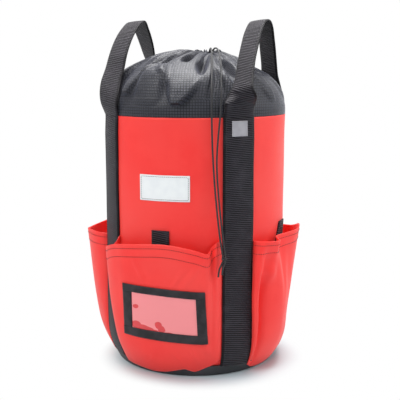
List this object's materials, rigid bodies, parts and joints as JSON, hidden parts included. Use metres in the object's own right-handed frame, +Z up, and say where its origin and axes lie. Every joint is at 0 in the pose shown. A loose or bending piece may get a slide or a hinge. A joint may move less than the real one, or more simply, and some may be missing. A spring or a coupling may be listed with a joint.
{
  "type": "rope bag",
  "caption": "Round fabric rope bag on a stiff base, with a drawcord collar, webbing straps, two loop handles and four bellows pockets.",
  "frame": {"origin": "on the floor, under the middle of the round base", "axes": "+Z up; the pocket with the card window faces -Y; the two handles stand at -X and +X"},
  "size_m": [0.3099, 0.2876, 0.4776],
  "materials": {
    "red_fabric": "matte",
    "webbing": "satin",
    "ripstop": "satin",
    "base_fabric": "matte",
    "board": "matte",
    "cord": "satin",
    "tape": "satin",
    "clear_vinyl": "gloss",
    "patch": "matte",
    "label": "satin"
  },
  "bodies": {
    "bag": {"base_board": "board", "base_panel": "base_fabric", "blank_patch": "patch", "body_shell": "red_fabric", "collar": "ripstop", "drawcord_knot": "cord", "drawcord_left": "cord", "drawcord_right": "cord", "drawcord_ring": "cord", "drawcord_tail_left": "cord", "drawcord_tail_right": "cord", "handle_root_back_left": "webbing", "handle_root_back_right": "webbing", "handle_root_front_left": "webbing", "handle_root_front_right": "webbing", "mouth_casing": "ripstop", "pocket_back": "red_fabric", "pocket_front": "red_fabric", "pocket_left": "red_fabric", "pocket_right": "red_fabric", "strap_back_left": "webbing", "strap_back_right": "webbing", "strap_front_left": "webbing", "strap_front_right": "webbing", "strap_label": "label", "tab_back": "webbing", "tab_front": "webbing", "tab_left": "webbing", "tab_right": "webbing", "window_pane": "clear_vinyl", "window_tape_bottom": "tape", "window_tape_left": "tape", "window_tape_right": "tape", "window_tape_top": "tape"},
    "left_handle": {"handle_left": "webbing"},
    "right_handle": {"handle_right": "webbing"}
  },
  "joints": [
    {"name": "left_handle_swing", "type": "hinge", "parent": "bag", "child": "left_handle", "pos_m": [-0.098, 0, 0.352], "axis": [0, -1, 0], "range_deg": [0, 120], "deforming": ["handle_root_front_left", "handle_root_back_left"]},
    {"name": "right_handle_swing", "type": "hinge", "parent": "bag", "child": "right_handle", "pos_m": [0.098, 0, 0.352], "axis": [0, 1, 0], "range_deg": [0, 120], "deforming": ["handle_root_front_right", "handle_root_back_right"]}
  ]
}
